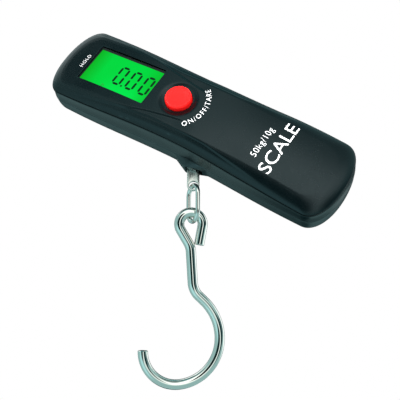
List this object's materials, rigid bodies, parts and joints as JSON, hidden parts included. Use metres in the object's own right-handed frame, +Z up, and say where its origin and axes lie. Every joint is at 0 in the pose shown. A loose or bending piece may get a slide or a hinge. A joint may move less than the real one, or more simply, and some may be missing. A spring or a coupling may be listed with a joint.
{
  "type": "digital fish scale",
  "caption": "Hand-held digital hanging scale: waisted black casing with a green display and red button, and a strap, oval link and chromed hook below.",
  "frame": {"origin": "centre of the casing on its parting plane, where the hand closes round the waist", "axes": "+X along the casing from the display end to the battery end, -Y the display side, +Y square to the flat back, +Z up, away from the hook"},
  "size_m": [0.143, 0.0532, 0.1175],
  "materials": {
    "front_shell": "satin moulded black",
    "rear_shell": "satin moulded black",
    "battery_cover": "fine grained black",
    "casing_screws": "zinc plated",
    "lcd_glass": "green backlit liquid crystal",
    "backlight_panel": "diffusing",
    "lcd_frame": "moulded white",
    "lcd_ribbon": "amber film",
    "circuit_board": "green solder mask",
    "board_components": "moulded black",
    "board_screws": "zinc plated",
    "tact_switch": "stamped",
    "switch_plunger": "moulded white",
    "power_button": "glossy red",
    "load_cell": "milled",
    "strain_gauges": "amber foil",
    "gauge_wires": "insulated",
    "load_cell_screws": "zinc plated",
    "load_clevis": "machined",
    "clevis_screw": "zinc plated",
    "strap_pin": "ground",
    "hanger_strap": "nickel plated",
    "oval_link": "chrome plated",
    "hook": "chrome plated",
    "aaa_cells": "printed sleeve",
    "spring_contacts": "nickel plated",
    "plate_contacts": "nickel plated",
    "battery_wires": "insulated"
  },
  "bodies": {
    "casing": {"front_shell": "front_shell", "rear_shell": "rear_shell", "casing_screws": "casing_screws", "lcd_glass": "lcd_glass", "backlight_panel": "backlight_panel", "lcd_frame": "lcd_frame", "lcd_ribbon": "lcd_ribbon", "circuit_board": "circuit_board", "board_components": "board_components", "board_screws": "board_screws", "tact_switch": "tact_switch", "load_cell": "load_cell", "strain_gauges": "strain_gauges", "gauge_wires": "gauge_wires", "load_cell_screws": "load_cell_screws", "load_clevis": "load_clevis", "clevis_screw": "clevis_screw", "strap_pin": "strap_pin", "aaa_cells": "aaa_cells", "spring_contacts": "spring_contacts", "plate_contacts": "plate_contacts", "battery_wires": "battery_wires"},
    "cover": {"battery_cover": "battery_cover"},
    "plunger": {"switch_plunger": "switch_plunger"},
    "button": {"power_button": "power_button"},
    "strap": {"hanger_strap": "hanger_strap"},
    "link": {"oval_link": "oval_link"},
    "hook": {"hook": "hook"}
  },
  "joints": [
    {"name": "button_press", "type": "slide", "parent": "casing", "child": "button", "axis": [0, 1, 0], "range_m": [0, 0.0004]},
    {"name": "switch_press", "type": "slide", "parent": "casing", "child": "plunger", "axis": [0, 1, 0], "range_m": [0, 0.0004]},
    {"name": "cover_release", "type": "slide", "parent": "casing", "child": "cover", "axis": [0, 1, 0], "range_m": [0, 0.03]},
    {"name": "strap_swing", "type": "hinge", "parent": "casing", "child": "strap", "pos_m": [0.0086, 0.0048, -0.01725], "axis": [0, 1, 0], "range_deg": [-2, 33]},
    {"name": "link_swing", "type": "hinge", "parent": "strap", "child": "link", "pos_m": [0.01558, 0.00584, -0.02806], "axis": [-0.6264, -0.5516, -0.5508], "range_deg": [-20, 60]},
    {"name": "hook_swing", "type": "hinge", "parent": "link", "child": "hook", "pos_m": [0.02126, 0.00861, -0.0373], "axis": [0.5915, -0.7965, 0.1249], "range_deg": [-32, 32]}
  ],
  "couplings": [
    {"joint": "switch_press", "follows": "button_press", "ratio": 1}
  ]
}
